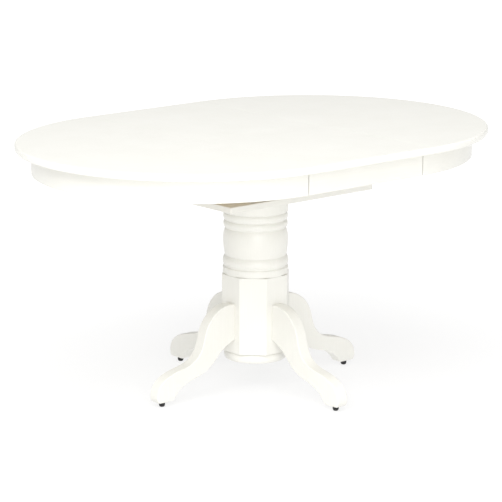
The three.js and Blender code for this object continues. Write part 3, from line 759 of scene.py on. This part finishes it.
# a pan-head wood screw with a cross recess, pointing up with its head's seat at the origin
def screwMesh():
    r, dome, shank = woodScrew["head"], woodScrew["dome"], woodScrew["shank"]
    outline = runOutline((0, -dome, 0), [
        ("curve", (r * 0.6, -dome, 0), (r, -dome * 0.7, 0), (r, 0, 0), 5),
        ("line", (shank, 0, 0)),
        ("line", (shank, woodScrew["length"] - woodScrew["tip"], 0)),
        ("line", (0, woodScrew["length"], 0)),
    ])
    bm = turnProfile(outline, steps=20)
    bmesh.ops.recalc_face_normals(bm, faces=bm.faces)
    blade = r * woodScrew["slotShare"] * mm
    crown = -zAxis * dome * mm
    for axis in (xAxis, yAxis):
        drill(bm, [(crown - axis * blade / 2, crown + axis * blade / 2, woodScrew["slot"] * mm)], 4)
    mesh = bpy.data.meshes.new("screwShape")
    bm.to_mesh(mesh)
    bm.free()
    return mesh


def addScrews(name, body, seats):
    bm = bmesh.new()
    for seat, direction in seats:
        first = len(bm.verts)
        bm.from_mesh(screwShape)
        bm.verts.ensure_lookup_table()
        turn = zAxis.rotation_difference(Vector(direction)).to_matrix().to_4x4()
        spun = Matrix.Rotation(first * 0.37, 4, "Z")  # no two stop at the same turn
        bmesh.ops.transform(bm, verts=bm.verts[first:], matrix=Matrix.Translation(seat) @ turn @ spun)
    addPiece(name, bm, zinc, body, "zinc_steel")


def buildScrews():
    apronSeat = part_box("apron_right")[0].z + apronShape["screwDepth"] * mm
    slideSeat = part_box("slide_left_near")[0].z + slideScrews["depth"] * mm
    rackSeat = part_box("rack_left")[0].z
    for name, end in ends.items():
        seats = [((x, y, apronSeat), zAxis) for x, y in curvedApronPlaces(end)]
        addScrews(f"apron_screws_{name}", f"{name}_half", seats)
        seats = []
        for side in sides:
            seats += [((x, y, slideSeat), zAxis) for x, y in slideScrewPlaces(f"slide_{name}_{side}")]
        addScrews(f"slide_screws_{name}", f"{name}_half", seats)
        low, high, centre = spanOf(f"rack_{name}")
        outer = low.x if end < 0 else high.x
        backing = centre.y + math.copysign(screwPlaces["rackBacking"] * mm, centre.y)
        seats = [((outer - end * off * mm, backing, rackSeat), zAxis) for off in screwPlaces["rackFromEnd"]]
        addScrews(f"rack_screws_{name}", f"{name}_half", seats)
        seats = []
        for side in sides:
            hinge = [j for j in frame["joints"] if j["child"] == f"rest_{name}_{side}"][0]["pos_m"]
            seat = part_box(f"leaf_rest_{name}_{side}")[0].z - screwPlaces["restSeat"] * mm
            seats.append(((hinge[0], hinge[1], seat), zAxis))
        addScrews(f"rest_screws_{name}", f"{name}_half", seats)
        bearer = spanOf(f"bearer_{name}")[2]
        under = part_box("mounting_plate")[0].z
        seats = [((bearer.x, y * mm, under), zAxis) for y in screwPlaces["bearer"]]
        addScrews(f"bearer_screws_{name}", "pedestal", seats)
    for name, side in sides.items():
        body = "pedestal" if name == "near" else "folding_panel"
        seats = [((x, y, apronSeat), zAxis) for x, y in leafApronPlaces(side)]
        addScrews(f"leaf_apron_screws_{name}", body, seats)


screwShape = screwMesh()
buildRunningGear()
buildHardware()
buildScrews()
print("slides, equalizer and hardware built")


studio = {
    "floor": "8a8a8a",    # a grey sheet that glows, lighting the table from below, so shadows on it stay faint
    "floorGlow": (0.74, 1.0),  # glow under the table, kept lower there as a painted shadow, and full from a few metres out
    "glowReach": (0.8, 3.5),   # m
    "floorReach": 40,     # m
    "floorRoughness": (0.85, 0.95),
    "world": "ffffff",
    "worldStrength": 0.5,
    "aim": (0, 0, 0.45),
    # energy in W, size in m, place in m
    "lamps": {
        "key": (122, 3.0, (-3.1, -4.8, 1.8)),
        "overhead": (74, 4.0, (0.2, -0.4, 4.4)),
        "upperLeft": (118, 2.6, (-3.7, -1.4, 3.9)),
        "upperFront": (62, 2.6, (-1.6, -3.6, 4.1)),
    },
}


def buildStudio():
    material, tree = newMaterial("glowingFloorPaintedShadow")
    place = addNode(tree, "TexCoord").outputs["Object"]
    cloud = addNode(tree, "TexNoise", {"Scale": 2.5, "Detail": 2}, {"Vector": place})
    smooth, matt = studio["floorRoughness"]
    rough = addNode(tree, "MapRange", {"To Min": smooth, "To Max": matt}, {"Value": cloud.outputs["Fac"]})
    away = addNode(tree, "VectorMath", {"operation": "LENGTH"}, {"Vector": place})
    (start, end), (paintedShadowGlow, farOff) = studio["glowReach"], studio["floorGlow"]
    # the glow drops towards the table's middle: a painted shadow on the floor under the table
    glow = addNode(tree, "MapRange", {"From Min": start, "From Max": end, "To Min": paintedShadowGlow, "To Max": farOff},
                   {"Value": away.outputs["Value"]})
    shader = addNode(tree, "BsdfPrincipled",
                     {"Base Color": linear(studio["floor"]), "Specular IOR Level": 0.1,
                      "Emission Color": linear(studio["world"])},
                     {"Roughness": rough.outputs[0], "Emission Strength": glow.outputs[0]})
    addNode(tree, "OutputMaterial", None, {"Surface": shader.outputs["BSDF"]})
    bm = bmesh.new()
    bmesh.ops.create_grid(bm, x_segments=1, y_segments=1, size=studio["floorReach"])
    mesh = bpy.data.meshes.new("floor")
    bm.to_mesh(mesh)
    bm.free()
    mesh.materials.append(material)
    floor = bpy.data.objects.new("floor", mesh)
    bpy.context.scene.collection.objects.link(floor)
    world = bpy.data.worlds.new("studio")
    world.use_nodes = True
    sky = world.node_tree.nodes["Background"]
    sky.inputs["Color"].default_value = linear(studio["world"])
    sky.inputs["Strength"].default_value = studio["worldStrength"]
    bpy.context.scene.world = world
    for name, (power, size, spot) in studio["lamps"].items():
        light = bpy.data.lights.new(name, "AREA")
        light.energy = power
        light.size = size
        lamp = bpy.data.objects.new(name, light)
        lamp.location = spot
        aim = Vector(studio["aim"]) - Vector(spot)
        lamp.rotation_euler = aim.to_track_quat("-Z", "Y").to_euler()
        bpy.context.scene.collection.objects.link(lamp)
    bpy.context.scene.view_settings.view_transform = "Standard"


shot = {
    "azimuth": -40.41,   # degrees, 0 looks along +Y
    "elevation": 12.82,
    "distance": 7.361,
    "aim": (-0.01006, 0.00857, 0.40623),
    "lens": 180.215,
    "sensor": 36,        # mm
}


def buildCamera():
    camera = bpy.data.objects.new("camera", bpy.data.cameras.new("camera"))
    bpy.context.scene.collection.objects.link(camera)
    camera.data.lens = shot["lens"]
    camera.data.sensor_width = shot["sensor"]
    camera.data.clip_end = 200
    a, e = math.radians(shot["azimuth"]), math.radians(shot["elevation"])
    back = Vector((math.sin(a) * math.cos(e), -math.cos(a) * math.cos(e), math.sin(e)))
    camera.location = Vector(shot["aim"]) + back * shot["distance"]
    camera.rotation_euler = (-back).to_track_quat("-Z", "Y").to_euler()
    bpy.context.scene.camera = camera


buildStudio()
buildCamera()
print("studio set")
